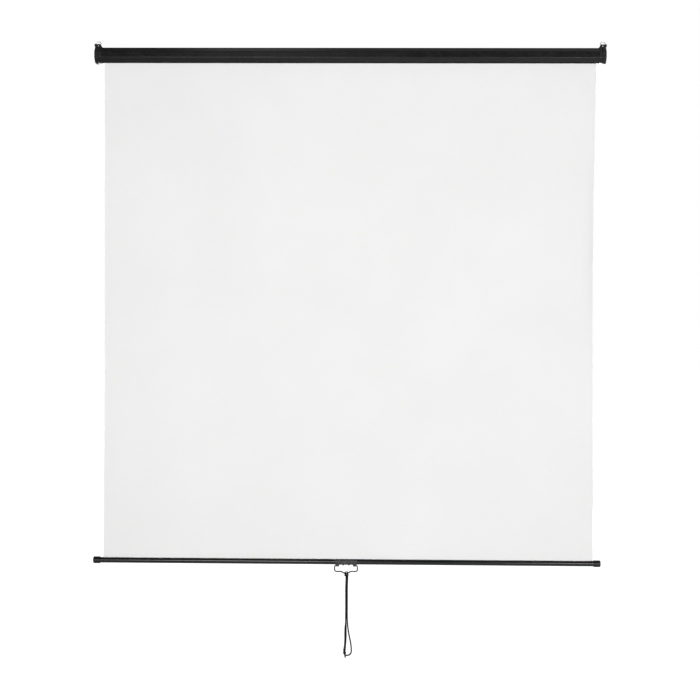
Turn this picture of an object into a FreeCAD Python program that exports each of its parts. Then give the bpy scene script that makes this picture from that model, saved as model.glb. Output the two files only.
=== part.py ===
# Roller projection screen, hanging, cloth drawn down. Millimetres.
# X runs to the right seen from the front, Y away from the viewer, Z up.
# The origin is midway between the two hanging rings, where their hooks bear.
import FreeCAD
import Part
import math
import os
from FreeCAD import Vector

# Driving dimensions
CLOTH_WIDTH = 1550.0
CLOTH_T = 0.4
CASE_OVERHANG = 31.3
CASE_ACROSS = 46.0
CASE_WALL = 0.9
CASE_DROP = 40.8
BAR_DROP = 1641.5
BAR_OVERHANG = 27.8
BAR_SHIFT = -4.0
BAR_DIA = 17.5
BAR_WALL = 1.2
TUBE_DIA = 20.0
TUBE_WALL = 1.0
SPINDLE_DIA = 5.0
RING_WIRE = 2.4
HANDLE_WIRE = 4.0
HANDLE_WIDTH = 71.8
HANDLE_REACH = 18.6
HANDLE_V_DEPTH = 7.4
SADDLE_INSET = 1.35
CORD_DIA = 4.0
LEADER_TURNS = 1.75
LEADER_PITCH = 0.85
RATCHET_NOTCHES = 4
SPRING_TURNS = 9

# Lengths that follow the width of the cloth or of the handle
CASE_LENGTH = CLOTH_WIDTH + 2 * CASE_OVERHANG
BAR_LENGTH = CLOTH_WIDTH + 2 * BAR_OVERHANG
SADDLE_LENGTH = HANDLE_WIDTH - 2 * SADDLE_INSET

# Clearances
RUN_FIT = 0.06
SEAT = 0.0
LOOSE = 0.4
CORD_GAP = 0.1

# Case section
CASE_Z = -CASE_DROP
HALF = CASE_ACROSS / 2
CORNER_R = 2.0
SLOT_FRONT = -8.0
SLOT_BACK = -1.0
HEM = 5.0
SLOT_LIP = 2.6

# End caps
CAP_WALL_T = 3.5
FLANGE_T = 12.5
FLANGE_ACROSS = CASE_ACROSS + 8.0
COLLAR_T = 1.3
COLLAR_LENGTH = 8.5
GROOVE = 1.2
SPIGOT_LENGTH = 14.0
SPIGOT_T = 2.0
CAP_EDGE_R = 4.0
CAP_BEVEL = 1.2
BOSS_R = 8.0
BOSS_LENGTH = 5.0
CAP_SCREW_R = 1.3
CAP_SCREW_LENGTH = 6.0
X_END = CASE_LENGTH / 2
X_WALL = X_END - FLANGE_T

# Hanging rings
RING_HALF = 7.8
RING_RISE = 7.2
RING_BEND = 2.6
RING_CROWN = 5.6
RING_X = X_END - 9.8
KNUCKLE_R = 2.5
KNUCKLE_HALF = 4.9
CHEEK_R = 3.0
EAR_OUT = 2.5
EAR_FRONT = 4.6
EAR_BACK = 2.2
EAR_PLATE_T = 2.0
EAR_TOP = 1.2 - RING_RISE
EAR_FLARE = 3.8
EAR_HOLE_R = 1.4

# Roller
ROLLER_Z = CASE_Z
TUBE_R = TUBE_DIA / 2
TUBE_BORE = TUBE_R - TUBE_WALL
LEAD_R = TUBE_R + CLOTH_T / 2 + LEADER_TURNS * LEADER_PITCH
CLOTH_Y = (SLOT_FRONT + SLOT_BACK) / 2 - 2.5
CLOTH_Y_BAR = CLOTH_Y + LEADER_PITCH / 8
ROLLER_Y = CLOTH_Y + LEAD_R
SPINDLE_R = SPINDLE_DIA / 2
BOSS_END = X_WALL - BOSS_LENGTH
RATCHET_T = 4.0
RATCHET_R = 6.0
RATCHET_OUT = BOSS_END - 1.0
RATCHET_IN = RATCHET_OUT - RATCHET_T
PLUG_FLANGE_T = 2.5
PLUG_FLANGE_R = TUBE_R + 1.5
TUBE_END = RATCHET_IN - 0.7 - PLUG_FLANGE_T
PLUG_LENGTH = 18.0
SPRING_WIRE = 1.3
SPRING_R = 6.0
SPRING_PITCH = 7.0
SPRING_START = TUBE_END - PLUG_LENGTH - SPRING_WIRE
SPRING_END = SPRING_START - SPRING_TURNS * SPRING_PITCH
ANCHOR_LENGTH = 10.0
ANCHOR_OUT = SPRING_END - SPRING_WIRE
GUDGEON_R = 3.0
BUSH_R = 5.0

# Pawls, swinging on pins in the plug's flange
PAWL_PIVOT = 9.2
PAWL_LENGTH = 6.0
PAWL_NOSE = 0.8
PAWL_HUB = 1.9
PIN_R = 1.0
PAWL_SWING = 20.0

# Weight bar and handle
BAR_Z = -BAR_DROP
BAR_R = BAR_DIA / 2
BAR_BORE = BAR_R - BAR_WALL
BAR_SLOT = 2.2
BAR_CAP_R = 10.85
BAR_CAP_LENGTH = 21.5
BAR_CAP_END = 4.0
BAR_LIP = 0.45
ROD_R = 3.0
ROD_Z = BAR_Z + BAR_BORE - ROD_R + 0.05
SADDLE_T = 1.0
SADDLE_TOP = 6.0
HINGE_R = HANDLE_WIRE / 2 + 1.2
HINGE_LENGTH = 10.0
HANDLE_BEND = 4.0
HANDLE_HINGE_Z = BAR_Z - BAR_R - SADDLE_T - HANDLE_WIRE / 2 - 0.4
HANDLE_RUN_Z = HANDLE_HINGE_Z - HANDLE_REACH
V_HALF = 15.0
V_BEND = 9.0
V_Z = HANDLE_RUN_Z - HANDLE_V_DEPTH
SCREW_X = 8.7

# Pull cord: places as (to the right, away from the viewer, below the V), as it hangs in the photograph
LEFT_ROUTE = [
    (-2.15, -0.3, 11.0),
    (-0.6, -0.5, 40),
    (-0.1, -0.6, 75),
    (0.2, -1.3, 112),
    (-0.2, -0.6, 142),
    (0.9, 0.0, 172),
    (1.2, 0.0, 200),
    (-0.6, 0.0, 226),
    (-2.4, 0.0, 249),
]
RIGHT_ROUTE = [
    (2.15, 0.3, 11.0),
    (3.8, 0.5, 40),
    (4.2, 0.6, 75),
    (3.6, 1.3, 112),
    (4.1, 0.6, 142),
    (6.2, 0.1, 168),
    (10.6, 0.0, 195),
    (15.6, 0.0, 216),
    (18.0, 0.0, 236.5),
    (18.1, 0.0, 248.2),
    (15.55, 0.0, 253.7),
    (10.95, 0.0, 257.55),
    (5.1, 0.0, 259.1),
    (-0.8, 0.0, 258.05),
    (-5.8, 0.0, 254.6),
]
TAIL_ROUTE = [
    (-5.6, -1.6, 251.5),
    (-5.2, -2.8, 240),
    (-2.8, -3.9, 226),
    (-2.0, -3.4, 206),
    (-2.1, -3.2, 187),
    (-2.6, -2.9, 168),
    (-3.4, -2.4, 157),
]
KNOT = (-3.3, 0.0, 251.8)
KNOT_R = 4.8
TAIL_DROP = 15.0


def corner_arc(before, corner, after, radius):
    """The tangent points and the middle of the arc that rounds one corner."""
    into = (before - corner).normalize()
    out = (after - corner).normalize()
    half = into.getAngle(out) / 2
    reach = radius / math.tan(half)
    bisector = (into + out).normalize()
    middle = corner + bisector * (radius / math.sin(half) - radius)
    return corner + into * reach, middle, corner + out * reach


def rounded_edges(points, radii, closed=False):
    """Straight runs and tangent arcs along the points; a radius of 0 leaves a corner sharp."""
    edges = []
    count = len(points)
    corners = range(count) if closed else range(1, count - 1)
    spans = {}
    for i in corners:
        if radii[i] > 0:
            spans[i] = corner_arc(points[i - 1], points[i], points[(i + 1) % count], radii[i])
    for i in range(count if closed else count - 1):
        j = (i + 1) % count
        start = spans[i][2] if i in spans else points[i]
        end = spans[j][0] if j in spans else points[j]
        if start.distanceToPoint(end) > 1e-6:
            edges.append(Part.LineSegment(start, end).toShape())
        if j in spans:
            edges.append(Part.Arc(*spans[j]).toShape())
    return edges


def outline(points, radius):
    """A closed, rounded face."""
    edges = rounded_edges(points, [radius] * len(points), closed=True)
    return Part.Face(Part.Wire(edges))


def sweep(edges, diameter, sides=0):
    """A round tube, or a bar of some sides, along a chain of edges."""
    path = Part.Wire(edges)
    first = path.OrderedEdges[0]
    start = first.valueAt(first.FirstParameter)
    along = first.tangentAt(first.FirstParameter)
    section = Part.Wire(Part.makeCircle(diameter / 2, start, along))
    if sides:
        section = Part.makePolygon(section.discretize(sides + 1))
    return path.makePipeShell([section], True, False)


def block(x0, x1, y0, y1, z0, z1):
    return Part.makeBox(x1 - x0, y1 - y0, z1 - z0, Vector(x0, y0, z0))


def rod_x(radius, x0, x1, y, z):
    return Part.makeCylinder(radius, x1 - x0, Vector(x0, y, z), Vector(1, 0, 0))


def screw_head(radius, height, seat, out):
    """Pan head: a straight edge and a bevelled crown."""
    edge = Part.makeCylinder(radius, height / 2, seat, out)
    crown = Part.makeCone(radius, radius * 0.62, height / 2, seat + out * (height / 2), out)
    return edge.fuse(crown)


def octagon(across, radius, x0, x1):
    """A prism along X with eight flats, round the middle of the case."""
    h = across / 2
    s = h * math.tan(math.pi / 8)
    ring = [(-s, -h), (-h, -s), (-h, s), (-s, h), (s, h), (h, s), (h, -s), (s, -h)]
    points = [Vector(x0, y, CASE_Z + z) for y, z in ring]
    return outline(points, radius).extrude(Vector(x1 - x0, 0, 0))


def mirrored(shape):
    return shape.mirror(Vector(0, 0, 0), Vector(1, 0, 0))


def cap_screw_places():
    """Middle of each screw head's seat on the rear slopes of the right collar, and its direction in."""
    x = X_WALL - COLLAR_LENGTH / 2 - GROOVE / 2
    seat = HALF + COLLAR_T
    slope = math.sqrt(0.5)
    places = []
    for up in (1, -1):
        out = Vector(0, slope, up * slope)
        places.append((Vector(x, 0, CASE_Z) + out * seat, out * -1))
    return places


def drill_cap_holes(shape):
    for seat, inward in cap_screw_places():
        start = seat - inward * 2
        shape = shape.cut(Part.makeCylinder(CAP_SCREW_R, CAP_SCREW_LENGTH + 6, start, inward))
    return shape


def both_ends(drill, shape):
    """Apply a right-hand cut at both ends of a symmetrical shape."""
    return mirrored(drill(mirrored(drill(shape))))


def case_shell():
    outer = octagon(CASE_ACROSS, CORNER_R, -X_WALL, X_WALL)
    inner = octagon(CASE_ACROSS - 2 * CASE_WALL, CORNER_R - CASE_WALL, -X_WALL, X_WALL)
    floor = CASE_Z - HALF
    slot = block(-X_WALL, X_WALL, SLOT_FRONT, SLOT_BACK, floor - 1, floor + 2 * CASE_WALL)
    front = block(-X_WALL, X_WALL, SLOT_FRONT - CASE_WALL, SLOT_FRONT, floor + CASE_WALL / 2, floor + HEM)
    back = block(-X_WALL, X_WALL, SLOT_BACK, SLOT_BACK + CASE_WALL, floor + CASE_WALL / 2, floor + HEM)
    end = X_WALL - COLLAR_LENGTH - LOOSE
    lip = block(-end, end, SLOT_FRONT - CASE_WALL, SLOT_FRONT, floor - SLOT_LIP, floor + CASE_WALL)
    shell = outer.cut(inner).cut(slot).fuse([front, back, lip]).removeSplitter()
    return both_ends(drill_cap_holes, shell)


def ear_prism(profile, front, back):
    """A profile seen from the front, given depth."""
    points = [Vector(x, front, z) for x, z in profile]
    return Part.Face(Part.makePolygon(points + points[:1])).extrude(Vector(0, back - front, 0))


def hanger_seat():
    """Ear of the right end cap: pedestal, knuckle, outer cheek and a plate before the ring's feet."""
    z = -RING_RISE
    top = CASE_Z + FLANGE_ACROSS / 2
    roof = CASE_Z + HALF + LOOSE
    out = X_END + EAR_OUT
    under_ring = z - RING_WIRE / 2 - LOOSE
    inner_foot = X_WALL - COLLAR_LENGTH
    inner_top = RING_X - RING_HALF + 1.1
    foot = [
        (inner_foot + 0.7, top),
        (inner_foot - EAR_FLARE, roof),
        (X_WALL + 0.5, roof),
        (X_WALL + 0.5, top - 3),
        (X_END - 1.2, top - 3),
        (X_END - 1.2, top - 1.5),
        (out, top + 1),
    ]
    pedestal = foot + [
        (out, under_ring),
        (RING_X + KNUCKLE_HALF, under_ring),
        (RING_X + KNUCKLE_HALF - 0.6, z),
        (RING_X - KNUCKLE_HALF + 0.6, z),
        (RING_X - KNUCKLE_HALF, under_ring),
        (inner_top - 1.4, under_ring),
    ]
    plate = foot + [(out, EAR_TOP), (inner_top, EAR_TOP)]
    ear = ear_prism(pedestal, -EAR_FRONT, EAR_BACK)
    ear = ear.fuse(ear_prism(plate, -EAR_FRONT, EAR_PLATE_T - EAR_FRONT))
    knuckle = rod_x(KNUCKLE_R, RING_X - KNUCKLE_HALF, RING_X + KNUCKLE_HALF, 0, z)
    cheek_in = RING_X + RING_HALF + RING_WIRE / 2 + 0.3
    cheek = rod_x(CHEEK_R, cheek_in, out, 0, z)
    cheek = cheek.fuse(block(cheek_in, out, -EAR_FRONT, CHEEK_R, top + 1, z))
    hole = Vector(RING_X, -EAR_FRONT - 1, top + 2.4)
    window = Part.makeCylinder(EAR_HOLE_R, EAR_FRONT + EAR_BACK + 2, hole, Vector(0, 1, 0))
    bore = rod_x(RING_WIRE / 2 + RUN_FIT, RING_X - 20, cheek_in, 0, z)
    return ear.fuse([knuckle, cheek]).cut(window).cut(bore)


def end_cap(socket):
    """Right-hand cap; the socket is cut into its boss."""
    flange = octagon(FLANGE_ACROSS, CORNER_R + 1, X_WALL, X_END)
    rim = [e for e in flange.Edges if e.BoundBox.XMin > X_END - 0.01]
    flange = flange.makeFillet(CAP_EDGE_R, rim)
    inner_rim = [e for e in flange.Edges if e.BoundBox.XMax < X_WALL + 0.01]
    flange = flange.makeChamfer(CAP_BEVEL, inner_rim)
    hollow = octagon(CASE_ACROSS - 8, CORNER_R, X_WALL - 1, X_END - CAP_WALL_T)
    collar = octagon(CASE_ACROSS + 2 * COLLAR_T, CORNER_R + COLLAR_T, X_WALL - COLLAR_LENGTH, X_WALL)
    groove = octagon(CASE_ACROSS + 12, CORNER_R, X_WALL - GROOVE, X_WALL)
    groove = groove.cut(octagon(CASE_ACROSS + COLLAR_T, CORNER_R, X_WALL - GROOVE, X_WALL))
    sleeve = octagon(CASE_ACROSS, CORNER_R, X_WALL - COLLAR_LENGTH, X_WALL)
    spigot_across = CASE_ACROSS - 2 * CASE_WALL - 0.2
    spigot = octagon(spigot_across, CORNER_R - CASE_WALL, X_WALL - SPIGOT_LENGTH, X_WALL)
    spigot = spigot.cut(octagon(spigot_across - 2 * SPIGOT_T, 0.5, X_WALL - SPIGOT_LENGTH, X_WALL))
    gate = block(X_WALL - SPIGOT_LENGTH, X_WALL, SLOT_FRONT - 6, SLOT_BACK + 6, CASE_Z - HALF, CASE_Z - 8)
    boss = rod_x(BOSS_R, BOSS_END, X_END - CAP_WALL_T + 0.5, ROLLER_Y, ROLLER_Z)
    cap = flange.cut(hollow).fuse([collar.cut(sleeve).cut(groove), spigot.cut(gate), boss, hanger_seat()])
    cap = drill_cap_holes(cap.cut(socket)).removeSplitter()
    return cap


def tang(clear, x0, x1):
    wide = SPINDLE_R + clear
    flat = SPINDLE_R * 0.55 + clear
    return block(x0, x1, ROLLER_Y - flat, ROLLER_Y + flat, ROLLER_Z - wide, ROLLER_Z + wide)


def left_end_cap():
    return mirrored(end_cap(tang(SEAT, BOSS_END - 1, X_END - CAP_WALL_T)))


def right_end_cap():
    return end_cap(rod_x(BUSH_R, BOSS_END - 1, X_END - CAP_WALL_T, ROLLER_Y, ROLLER_Z))


def end_cap_screws():
    screws = []
    for seat, inward in cap_screw_places():
        head = screw_head(2.6, 1.6, seat, inward * -1)
        shank = Part.makeCylinder(CAP_SCREW_R, CAP_SCREW_LENGTH, seat, inward)
        screw = head.fuse(shank)
        screws += [screw, mirrored(screw)]
    return Part.makeCompound(screws)


def hanging_ring(side):
    """Wire ring, closed by a butt joint inside its knuckle."""
    x = side * RING_X
    low = -RING_RISE
    high = RING_WIRE / 2
    points = [
        Vector(x + 0.3, 0, low),
        Vector(x + RING_HALF, 0, low),
        Vector(x + RING_HALF, 0, high),
        Vector(x - RING_HALF, 0, high),
        Vector(x - RING_HALF, 0, low),
        Vector(x - 0.3, 0, low),
    ]
    return sweep(rounded_edges(points, [0, RING_BEND, RING_CROWN, RING_CROWN, RING_BEND, 0]), RING_WIRE)


def leader_arcs(offset):
    """Quarter arcs of the cloth's first turns, from the point where it leaves the roller inwards."""
    step = LEADER_PITCH / 4
    radius = LEAD_R
    centre = Vector(0, ROLLER_Y + step / 2, ROLLER_Z - step / 2)
    angle = math.pi
    arcs = []
    for _ in range(int(round(LEADER_TURNS * 4))):
        points = []
        for share in (0, 0.5, 1):
            a = angle - share * math.pi / 2
            r = radius + offset
            points.append(centre + Vector(0, math.cos(a) * r, math.sin(a) * r))
        arcs.append(points)
        angle -= math.pi / 2
        radius -= step
        centre = centre + Vector(0, math.cos(angle), math.sin(angle)) * step
    return arcs


def cloth_start():
    """Middle of the cloth where the first turn ends and the hanging part begins."""
    first = leader_arcs(0)[0][0]
    return first.y, first.z


def wound_cloth():
    outer = leader_arcs(CLOTH_T / 2)
    inner = leader_arcs(-CLOTH_T / 2)
    edges = [Part.Arc(*arc).toShape() for arc in outer]
    edges.append(Part.LineSegment(outer[-1][2], inner[-1][2]).toShape())
    edges += [Part.Arc(*reversed(arc)).toShape() for arc in reversed(inner)]
    edges.append(Part.LineSegment(inner[0][0], outer[0][0]).toShape())
    face = Part.Face(Part.Wire(edges))
    face.translate(Vector(-CLOTH_WIDTH / 2, 0, 0))
    gaps = [o[2].distanceToPoint(i[2]) for o, i in zip(outer[4:], inner[:-4])]
    print("least gap between turns of cloth", round(min(gaps), 3))
    return face.extrude(Vector(CLOTH_WIDTH, 0, 0))


def screen_cloth():
    y, z = cloth_start()
    t = CLOTH_T / 2
    return block(-CLOTH_WIDTH / 2, CLOTH_WIDTH / 2, y - t, y + t, ROD_Z, z)


def roller_tube():
    outer = rod_x(TUBE_R, -TUBE_END, TUBE_END, ROLLER_Y, ROLLER_Z)
    return outer.cut(rod_x(TUBE_BORE, -TUBE_END, TUBE_END, ROLLER_Y, ROLLER_Z))


def plug(bore):
    """Right-hand plug with its flange."""
    body = rod_x(TUBE_BORE, TUBE_END - PLUG_LENGTH, TUBE_END, ROLLER_Y, ROLLER_Z)
    flange = rod_x(PLUG_FLANGE_R, TUBE_END, TUBE_END + PLUG_FLANGE_T, ROLLER_Y, ROLLER_Z)
    hole = rod_x(bore, TUBE_END - PLUG_LENGTH - 1, TUBE_END + 9, ROLLER_Y, ROLLER_Z)
    return body.fuse(flange).cut(hole).removeSplitter()


def pivot_place(turn):
    a = math.radians(90 + turn)
    return Vector(0, ROLLER_Y + PAWL_PIVOT * math.cos(a), ROLLER_Z + PAWL_PIVOT * math.sin(a))


def pin(turn):
    place = pivot_place(turn)
    return rod_x(PIN_R, -RATCHET_OUT - 0.3, -TUBE_END - 0.5, place.y, place.z)


def spring_end_plug():
    body = mirrored(plug(SPINDLE_R + RUN_FIT))
    return body.cut(pin(0)).cut(pin(180))


def pawl_pins():
    return Part.makeCompound([pin(0), pin(180)])


def idle_plug():
    return plug(GUDGEON_R)


def idle_gudgeon():
    return rod_x(GUDGEON_R, TUBE_END - PLUG_LENGTH, X_END - CAP_WALL_T - 0.5, ROLLER_Y, ROLLER_Z)


def idle_bush():
    outer = rod_x(BUSH_R, BOSS_END - 0.5, X_END - CAP_WALL_T, ROLLER_Y, ROLLER_Z)
    return outer.cut(rod_x(GUDGEON_R + RUN_FIT, BOSS_END - 1, X_END, ROLLER_Y, ROLLER_Z))


def pawl_blank(turn, swing, extra, x0, x1):
    """Tapered lever round its pin; the nose clears the ratchet at a swing of 0."""
    pivot = pivot_place(turn)
    clear = RATCHET_R + PAWL_NOSE + LOOSE
    lean = math.acos((PAWL_PIVOT**2 + PAWL_LENGTH**2 - clear**2) / (2 * PAWL_PIVOT * PAWL_LENGTH))
    heading = math.radians(-90 + turn - swing) + lean
    along = Vector(0, math.cos(heading), math.sin(heading))
    across = Vector(0, -along.z, along.y)
    hub = PAWL_HUB + extra
    nose = PAWL_NOSE + extra
    tilt = math.asin((hub - nose) / PAWL_LENGTH)
    corners = []
    for side in (1, -1):
        normal = across * (side * math.cos(tilt)) + along * math.sin(tilt)
        corners.append((pivot + normal * hub, pivot + along * PAWL_LENGTH + normal * nose))
    edges = [
        Part.LineSegment(corners[0][0], corners[0][1]).toShape(),
        Part.Arc(corners[0][1], pivot + along * (PAWL_LENGTH + nose), corners[1][1]).toShape(),
        Part.LineSegment(corners[1][1], corners[1][0]).toShape(),
        Part.Arc(corners[1][0], pivot - along * hub, corners[0][0]).toShape(),
    ]
    face = Part.Face(Part.Wire(edges))
    face.translate(Vector(x0, 0, 0))
    return face.extrude(Vector(x1 - x0, 0, 0))


def pawl(turn):
    place = pivot_place(turn)
    lever = pawl_blank(turn, 0, 0, -RATCHET_OUT + 0.2, -RATCHET_IN - 0.2)
    return lever.cut(rod_x(PIN_R + RUN_FIT, -RATCHET_OUT - 1, -RATCHET_IN + 1, place.y, place.z))


def ratchet_collar():
    """Fixed collar; each notch is the room that a pawl sweeps as it drops in."""
    disc = rod_x(RATCHET_R, -RATCHET_OUT, -RATCHET_IN, ROLLER_Y, ROLLER_Z)
    for i in range(RATCHET_NOTCHES):
        for share in (0.4, 0.7, 1.0):
            turn = i * 360 / RATCHET_NOTCHES
            sweep_room = pawl_blank(turn, share * PAWL_SWING, 0.35, -RATCHET_OUT - 1, -RATCHET_IN + 1)
            disc = disc.cut(sweep_room)
    hub = rod_x(SPINDLE_R, -RATCHET_OUT - 1, -RATCHET_IN + 1, ROLLER_Y, ROLLER_Z)
    return disc.cut(hub)


def spindle():
    shaft = rod_x(SPINDLE_R, -BOSS_END, -ANCHOR_OUT + ANCHOR_LENGTH, ROLLER_Y, ROLLER_Z)
    flat = tang(SEAT, -X_END + CAP_WALL_T + 0.5, -BOSS_END + 0.5)
    round_stock = rod_x(SPINDLE_R, -X_END + CAP_WALL_T + 0.5, -BOSS_END + 0.5, ROLLER_Y, ROLLER_Z)
    return shaft.fuse(flat.common(round_stock)).removeSplitter()


def spring_anchor():
    body = rod_x(TUBE_BORE - RUN_FIT, -ANCHOR_OUT, -ANCHOR_OUT + ANCHOR_LENGTH, ROLLER_Y, ROLLER_Z)
    body = body.cut(rod_x(SPINDLE_R, -ANCHOR_OUT - 1, -ANCHOR_OUT + ANCHOR_LENGTH + 1, ROLLER_Y, ROLLER_Z))
    below = Vector(-ANCHOR_OUT + ANCHOR_LENGTH / 2, ROLLER_Y, ROLLER_Z - 2 * TUBE_R)
    return body.cut(Part.makeCylinder(0.8, 4 * TUBE_R, below, Vector(0, 0, 1)))


def helix_point(turns):
    a = 2 * math.pi * turns
    return Vector(
        -SPRING_START + SPRING_PITCH * turns,
        ROLLER_Y + SPRING_R * math.cos(a),
        ROLLER_Z + SPRING_R * math.sin(a),
    )


def helix_tangent(turns):
    a = 2 * math.pi * turns
    rise = SPRING_PITCH / (2 * math.pi)
    return Vector(rise, -SPRING_R * math.sin(a), SPRING_R * math.cos(a)).normalize()


def arc_to(start, control, end):
    """The arc from start to end that touches both lines through the control point."""
    middle = (start + end) * 0.5
    half = start.distanceToPoint(end) / 2
    turn = math.acos(half / start.distanceToPoint(control))
    crown = middle + (control - middle).normalize() * (half * math.tan(turn / 2))
    return Part.Arc(start, crown, end).toShape()


def biarc(p0, t0, p1, t1):
    chord = p1 - p0
    both = t0 + t1
    a = both.dot(both) - 4
    b = -2 * chord.dot(both)
    c = chord.dot(chord)
    reach = (-b - math.sqrt(b * b - 4 * a * c)) / (2 * a)
    c0 = p0 + t0 * reach
    c1 = p1 - t1 * reach
    joint = (c0 + c1) * 0.5
    return [arc_to(p0, c0, joint), arc_to(joint, c1, p1)]


def torsion_spring():
    edges = []
    halves = SPRING_TURNS * 2
    for i in range(halves):
        a = i / 2
        b = (i + 1) / 2
        edges += biarc(helix_point(a), helix_tangent(a), helix_point(b), helix_tangent(b))
    samples = [helix_point(i / 40) for i in range(40 * SPRING_TURNS)]
    gap = min(p.distanceToPoint(q) for p, q in zip(samples[:-40], samples[40:])) - SPRING_WIRE
    print("least gap between spring turns", round(gap, 2))
    return sweep(edges, SPRING_WIRE * math.sqrt(2), sides=4)


def saddle_screw_drill(x):
    start = Vector(x, CLOTH_Y_BAR, BAR_Z - BAR_R - 5)
    return Part.makeCylinder(1.2, BAR_WALL + SADDLE_T + 6, start, Vector(0, 0, 1))


def weight_bar():
    end = BAR_LENGTH / 2 - BAR_CAP_END
    tube = rod_x(BAR_R, -end, end, CLOTH_Y_BAR, BAR_Z)
    tube = tube.cut(rod_x(BAR_BORE, -end, end, CLOTH_Y_BAR, BAR_Z))
    half = BAR_SLOT / 2
    tube = tube.cut(block(-end, end, CLOTH_Y_BAR - half, CLOTH_Y_BAR + half, BAR_Z, BAR_Z + BAR_R + 1))
    for x in (-SCREW_X, SCREW_X):
        tube = tube.cut(saddle_screw_drill(x))
    return tube


def hem_rod():
    end = CLOTH_WIDTH / 2
    rod = rod_x(ROD_R, -end, end, CLOTH_Y_BAR, ROD_Z)
    t = CLOTH_T / 2
    return rod.cut(block(-end, end, CLOTH_Y_BAR - t, CLOTH_Y_BAR + t, ROD_Z, ROD_Z + ROD_R + 1))


def bar_cap(side):
    """Turned cap with a chamfered end and a lip towards the cloth."""
    out = BAR_LENGTH / 2
    back = out - BAR_CAP_LENGTH
    floor = out - BAR_CAP_END
    profile = [
        (floor, 0),
        (out, 0),
        (out, BAR_CAP_R - 3.0),
        (out - 0.8, BAR_CAP_R - 1.4),
        (out - 2.6, BAR_CAP_R),
        (back + 2.2, BAR_CAP_R),
        (back + 1.6, BAR_CAP_R + BAR_LIP),
        (back, BAR_CAP_R + BAR_LIP),
        (back, BAR_R),
        (floor, BAR_R),
    ]
    points = [Vector(x, CLOTH_Y_BAR, BAR_Z + r) for x, r in profile]
    face = Part.Face(Part.makePolygon(points + points[:1]))
    cap = face.revolve(Vector(0, CLOTH_Y_BAR, BAR_Z), Vector(1, 0, 0), 360)
    return cap if side > 0 else mirrored(cap)


def handle_saddle():
    end = SADDLE_LENGTH / 2
    clip = rod_x(BAR_R + SADDLE_T, -end, end, CLOTH_Y_BAR, BAR_Z)
    clip = clip.cut(block(-end, end, CLOTH_Y_BAR - 20, CLOTH_Y_BAR + 20, BAR_Z + SADDLE_TOP, BAR_Z + 30))
    pieces = []
    for side in (-1, 1):
        x1 = HANDLE_WIDTH / 2 - HANDLE_BEND - 0.2
        x0 = x1 - HINGE_LENGTH
        low, high = (x0, x1) if side > 0 else (-x1, -x0)
        pieces.append(rod_x(HINGE_R, low, high, CLOTH_Y_BAR, HANDLE_HINGE_Z))
        front = CLOTH_Y_BAR - HINGE_R
        back = CLOTH_Y_BAR + HINGE_R
        pieces.append(block(low, high, front, back, HANDLE_HINGE_Z, BAR_Z - BAR_R + 1))
        seat = Vector(side * SCREW_X, CLOTH_Y_BAR, BAR_Z - BAR_R - SADDLE_T - 0.5)
        pieces.append(Part.makeCylinder(3.4, 3, seat, Vector(0, 0, 1)))
    clip = clip.fuse(pieces)
    clip = clip.cut(rod_x(BAR_R, -end, end, CLOTH_Y_BAR, BAR_Z))
    clip = clip.cut(rod_x(HANDLE_WIRE / 2 + RUN_FIT, -end, end, CLOTH_Y_BAR, HANDLE_HINGE_Z))
    for x in (-SCREW_X, SCREW_X):
        clip = clip.cut(saddle_screw_drill(x))
    return clip.removeSplitter()


def saddle_screws():
    screws = []
    for x in (-SCREW_X, SCREW_X):
        seat = BAR_Z - BAR_R - SADDLE_T - 0.5
        head = screw_head(2.6, 1.9, Vector(x, CLOTH_Y_BAR, seat), Vector(0, 0, -1))
        shank = Part.makeCylinder(1.2, 5, Vector(x, CLOTH_Y_BAR, seat), Vector(0, 0, 1))
        screws.append(head.fuse(shank))
    return Part.makeCompound(screws)


def pull_handle():
    """Bail of round wire: hinge ends, legs, and a run with a V for the cord."""
    x = HANDLE_WIDTH / 2
    inner = x - HANDLE_BEND - 0.2 - HINGE_LENGTH
    y = CLOTH_Y_BAR
    crown = 0.0
    for _ in range(30):
        slope = math.atan2(HANDLE_V_DEPTH + crown, V_HALF)
        crown = V_BEND * (1 / math.cos(slope) - 1)
    half = [
        (inner + 0.3, HANDLE_HINGE_Z, 0),
        (x, HANDLE_HINGE_Z, HANDLE_BEND),
        (x, HANDLE_RUN_Z, 5.5),
        (V_HALF, HANDLE_RUN_Z, 8.0),
    ]
    points = [Vector(-a, y, z) for a, z, _ in half]
    points.append(Vector(0, y, V_Z - crown))
    points += [Vector(a, y, z) for a, z, _ in reversed(half)]
    radii = [r for _, _, r in half] + [V_BEND] + [r for _, _, r in reversed(half)]
    return sweep(rounded_edges(points, radii), HANDLE_WIRE)


def cord_places(route):
    return [Vector(x, CLOTH_Y_BAR + y, V_Z - z) for x, y, z in route]


def cord(route, name):
    """Round cord: runs with tangent arcs, each as wide as its shorter run allows."""
    points = cord_places(route)
    radii = [0.0]
    for before, corner, after in zip(points, points[1:], points[2:]):
        turn = math.pi - (before - corner).getAngle(after - corner)
        run = min(before.distanceToPoint(corner), corner.distanceToPoint(after))
        radii.append(0.45 * run / math.tan(turn / 2))
    radii.append(0.0)
    edges = rounded_edges(points, radii)
    shape = sweep(edges, CORD_DIA)
    length = sum(e.Length for e in edges)
    ideal = math.pi * CORD_DIA**2 / 4 * length
    print(name, "length", round(length, 1), "least radius", round(min(radii[1:-1]), 1))
    print(name, "volume against section times length", round(shape.Volume / ideal, 4))
    return shape


def left_strand():
    return cord(LEFT_ROUTE, "left strand")


def right_strand():
    return cord(RIGHT_ROUTE, "right strand")


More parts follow.
